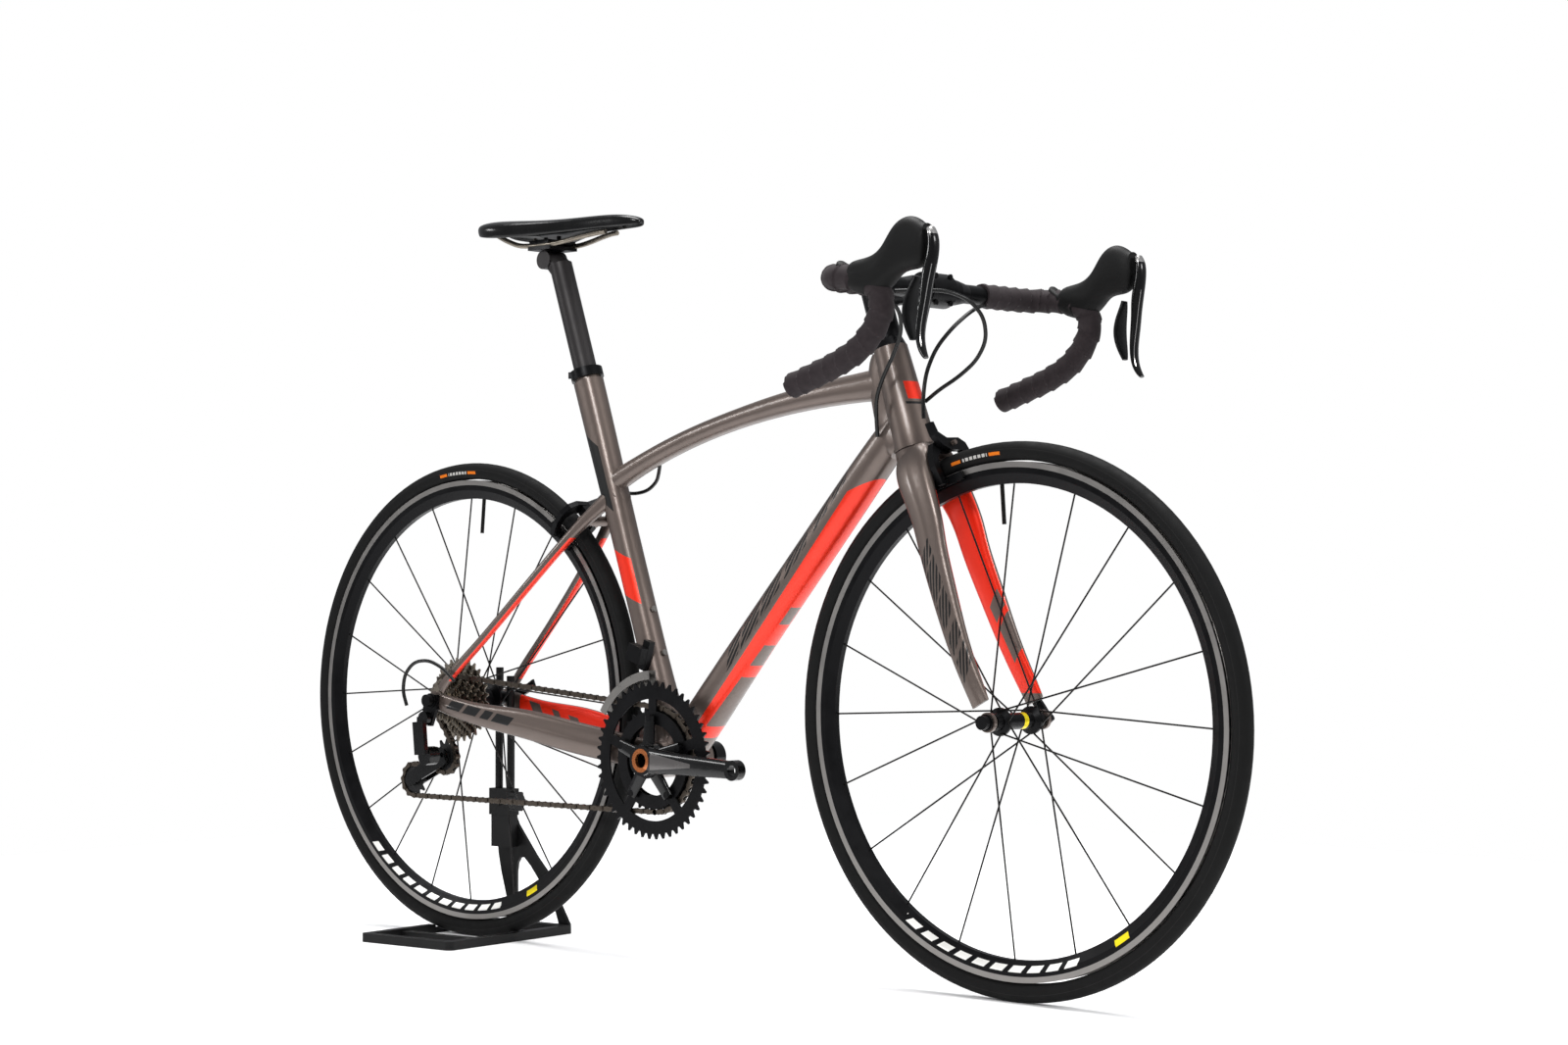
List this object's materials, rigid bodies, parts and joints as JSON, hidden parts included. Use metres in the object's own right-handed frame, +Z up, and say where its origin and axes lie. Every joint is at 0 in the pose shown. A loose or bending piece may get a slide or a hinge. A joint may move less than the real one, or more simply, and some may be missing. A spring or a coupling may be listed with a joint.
{
  "type": "bicycle on stand",
  "caption": "Road bicycle with drop handlebars and derailleur gears, its rear axle end held upright by a low floor stand with a forked leg and two hooked arms.",
  "frame": {"origin": "on the floor, midway between the two axles, in the bicycle's middle plane", "axes": "+X forward, +Y to the rider's left, +Z up"},
  "size_m": [1.643, 0.4406, 1.003],
  "materials": {
    "frame_paint": "gloss clear-coated metallic",
    "black_rubber": "matt moulded",
    "tyre_rubber": "matt",
    "black_alloy": "satin black anodised",
    "steel": "nickel plated",
    "black_steel": "satin powder coat",
    "tape": "matt wrapped tape",
    "saddle": "gloss smooth cover",
    "cable": "satin housing",
    "black_plastic": "gloss moulded",
    "chain_steel": "oiled"
  },
  "bodies": {
    "stand": {"stand_base": "black_steel", "stand_leg_plate": "black_steel", "stand_clamp_block": "black_steel"},
    "stand_arms": {"stand_arms": "black_steel"},
    "stand_knob": {"stand_knob": "black_plastic"},
    "frame": {"front_triangle": "frame_paint", "chainstays": "frame_paint", "seatstays": "frame_paint", "headset_bearings": "steel", "bottom_bracket": "black_alloy", "bottle_bolts": "steel", "seat_clamp": "black_alloy", "rear_axle": "steel", "derailleur_hanger": "black_alloy", "rear_derailleur_bracket": "black_alloy", "front_derailleur_bracket": "black_alloy", "chain": "chain_steel", "shift_cables": "cable", "rear_cables": "cable"},
    "seatpost": {"seatpost": "black_alloy", "saddle_clamp": "black_alloy", "saddle_rails": "steel", "saddle_shell": "black_plastic", "saddle_cover": "saddle"},
    "fork": {"fork": "frame_paint", "headset_spacers": "black_alloy", "stem": "black_alloy", "handlebar": "black_alloy", "bar_tape": "tape", "brake_hoods": "black_rubber", "front_axle": "steel", "front_brake_cable": "cable"},
    "front_wheel": {"front_tyre": "tyre_rubber", "front_rim": "black_alloy", "front_spokes": "steel", "front_hub": "black_alloy"},
    "rear_wheel": {"rear_tyre": "tyre_rubber", "rear_rim": "black_alloy", "rear_spokes": "steel", "rear_hub": "black_alloy"},
    "cassette": {"cassette": "steel"},
    "crankset": {"right_crank": "black_alloy", "left_crank": "black_alloy", "chainrings": "black_alloy"},
    "left_brake_lever": {"left_brake_lever": "black_alloy"},
    "right_brake_lever": {"right_brake_lever": "black_alloy"},
    "left_shift_paddle": {"left_shift_paddle": "black_plastic"},
    "right_shift_paddle": {"right_shift_paddle": "black_plastic"},
    "front_brake_arm_left": {"front_brake_arm_left": "black_alloy"},
    "front_brake_arm_right": {"front_brake_arm_right": "black_alloy"},
    "rear_brake_arm_left": {"rear_brake_arm_left": "black_alloy"},
    "rear_brake_arm_right": {"rear_brake_arm_right": "black_alloy"},
    "front_quick_release": {"front_quick_release": "black_alloy"},
    "rear_quick_release": {"rear_quick_release": "black_alloy"},
    "rear_derailleur_link": {"rear_derailleur_link": "black_alloy"},
    "rear_derailleur_knuckle": {"rear_derailleur_knuckle": "black_alloy"},
    "rear_derailleur_cage": {"rear_derailleur_cage": "black_alloy"},
    "upper_pulley": {"upper_pulley": "black_plastic"},
    "lower_pulley": {"lower_pulley": "black_plastic"},
    "front_derailleur_cage": {"front_derailleur_cage": "steel"}
  },
  "joints": [
    {"name": "bike_lift", "type": "slide", "parent": "stand", "child": "frame", "axis": [0, 0, 1], "range_m": [0, 0.1]},
    {"name": "stand_arm_height", "type": "slide", "parent": "stand", "child": "stand_arms", "axis": [0, 0, 1], "range_m": [-0.035, 0]},
    {"name": "stand_knob_turn", "type": "hinge", "parent": "stand", "child": "stand_knob", "pos_m": [-0.4936, 0.086, 0.184], "axis": [0.9962, 0.0872, 0], "range_deg": [0, 120]},
    {"name": "seatpost_height", "type": "slide", "parent": "frame", "child": "seatpost", "axis": [-0.3222, 0, 0.9467], "range_m": [-0.06, 0.03]},
    {"name": "steering", "type": "hinge", "parent": "frame", "child": "fork", "pos_m": [0.29168, 0, 0.79], "axis": [-0.309, 0, 0.9511], "range_deg": [-60, 60], "deforming": ["shift_cables"]},
    {"name": "front_wheel_spin", "type": "hinge", "parent": "fork", "child": "front_wheel", "pos_m": [0.487, 0, 0.3345], "axis": [0, 1, 0], "continuous": true},
    {"name": "rear_wheel_spin", "type": "hinge", "parent": "frame", "child": "rear_wheel", "pos_m": [-0.487, 0, 0.3345], "axis": [0, 1, 0], "continuous": true},
    {"name": "crank_spin", "type": "hinge", "parent": "frame", "child": "crankset", "pos_m": [-0.077, 0, 0.267], "axis": [0, 1, 0], "continuous": true, "deforming": ["chain"]},
    {"name": "cassette_spin", "type": "hinge", "parent": "frame", "child": "cassette", "pos_m": [-0.487, 0, 0.3345], "axis": [0, 1, 0], "continuous": true},
    {"name": "left_brake_lever_pull", "type": "hinge", "parent": "fork", "child": "left_brake_lever", "pos_m": [0.514, 0.202, 0.876], "axis": [0, 1, 0], "range_deg": [0, 18], "stiffness_Nm_per_rad": 0.6, "springref_deg": -5.73},
    {"name": "right_brake_lever_pull", "type": "hinge", "parent": "fork", "child": "right_brake_lever", "pos_m": [0.514, -0.202, 0.876], "axis": [0, 1, 0], "range_deg": [0, 18], "stiffness_Nm_per_rad": 0.6, "springref_deg": -5.73},
    {"name": "left_shift_push", "type": "hinge", "parent": "left_brake_lever", "child": "left_shift_paddle", "pos_m": [0.502, 0.202, 0.856], "axis": [-1, 0, 0], "range_deg": [0, 14], "stiffness_Nm_per_rad": 0.2, "springref_deg": -11.46},
    {"name": "right_shift_push", "type": "hinge", "parent": "right_brake_lever", "child": "right_shift_paddle", "pos_m": [0.502, -0.202, 0.856], "axis": [1, 0, 0], "range_deg": [0, 14], "stiffness_Nm_per_rad": 0.2, "springref_deg": -11.46},
    {"name": "front_brake_left_close", "type": "hinge", "parent": "fork", "child": "front_brake_arm_left", "pos_m": [0.373, 0, 0.664], "axis": [0.9511, 0, 0.309], "range_deg": [-1.2, 0]},
    {"name": "front_brake_right_close", "type": "hinge", "parent": "fork", "child": "front_brake_arm_right", "pos_m": [0.373, 0, 0.664], "axis": [0.9511, 0, 0.309], "range_deg": [0, 1.2]},
    {"name": "rear_brake_left_close", "type": "hinge", "parent": "frame", "child": "rear_brake_arm_left", "pos_m": [-0.2505, 0, 0.5925], "axis": [-0.7372, 0, 0.6757], "range_deg": [-1.2, 0]},
    {"name": "rear_brake_right_close", "type": "hinge", "parent": "frame", "child": "rear_brake_arm_right", "pos_m": [-0.2505, 0, 0.5925], "axis": [-0.7372, 0, 0.6757], "range_deg": [0, 1.2]},
    {"name": "front_quick_release_open", "type": "hinge", "parent": "fork", "child": "front_quick_release", "pos_m": [0.487, 0.0622, 0.3345], "axis": [-0.766, 0, -0.6428], "range_deg": [0, 110]},
    {"name": "rear_quick_release_open", "type": "hinge", "parent": "frame", "child": "rear_quick_release", "pos_m": [-0.487, 0.0776, 0.3345], "axis": [-0.4226, 0, 0.9063], "range_deg": [0, 110]},
    {"name": "rear_derailleur_swing", "type": "hinge", "parent": "frame", "child": "rear_derailleur_link", "pos_m": [-0.496, -0.088, 0.304], "axis": [1, 0, 0], "range_deg": [-3, 4]},
    {"name": "rear_derailleur_knuckle_swing", "type": "hinge", "parent": "rear_derailleur_link", "child": "rear_derailleur_knuckle", "pos_m": [-0.494, -0.088, 0.26], "axis": [1, 0, 0], "range_deg": [-4, 3]},
    {"name": "derailleur_cage_swing", "type": "hinge", "parent": "rear_derailleur_knuckle", "child": "rear_derailleur_cage", "pos_m": [-0.493, -0.066, 0.257], "axis": [0, 1, 0], "range_deg": [-10, 10]},
    {"name": "upper_pulley_spin", "type": "hinge", "parent": "rear_derailleur_cage", "child": "upper_pulley", "pos_m": [-0.495, -0.0412, 0.254], "axis": [0, 1, 0], "continuous": true},
    {"name": "lower_pulley_spin", "type": "hinge", "parent": "rear_derailleur_cage", "child": "lower_pulley", "pos_m": [-0.563, -0.0412, 0.219], "axis": [0, 1, 0], "continuous": true},
    {"name": "front_derailleur_swing", "type": "hinge", "parent": "frame", "child": "front_derailleur_cage", "pos_m": [-0.139, -0.03, 0.412], "axis": [0.8191, 0, 0.5736], "range_deg": [-4, 1]}
  ],
  "couplings": [
    {"joint": "cassette_spin", "follows": "crank_spin", "ratio": 2},
    {"joint": "upper_pulley_spin", "follows": "crank_spin", "ratio": -3.0909},
    {"joint": "lower_pulley_spin", "follows": "crank_spin", "ratio": 3.0909},
    {"joint": "rear_derailleur_knuckle_swing", "follows": "rear_derailleur_swing", "ratio": -1},
    {"joint": "front_brake_left_close", "follows": "left_brake_lever_pull", "ratio": -0.06667},
    {"joint": "front_brake_right_close", "follows": "left_brake_lever_pull", "ratio": 0.06667},
    {"joint": "rear_brake_left_close", "follows": "right_brake_lever_pull", "ratio": -0.06667},
    {"joint": "rear_brake_right_close", "follows": "right_brake_lever_pull", "ratio": 0.06667}
  ]
}
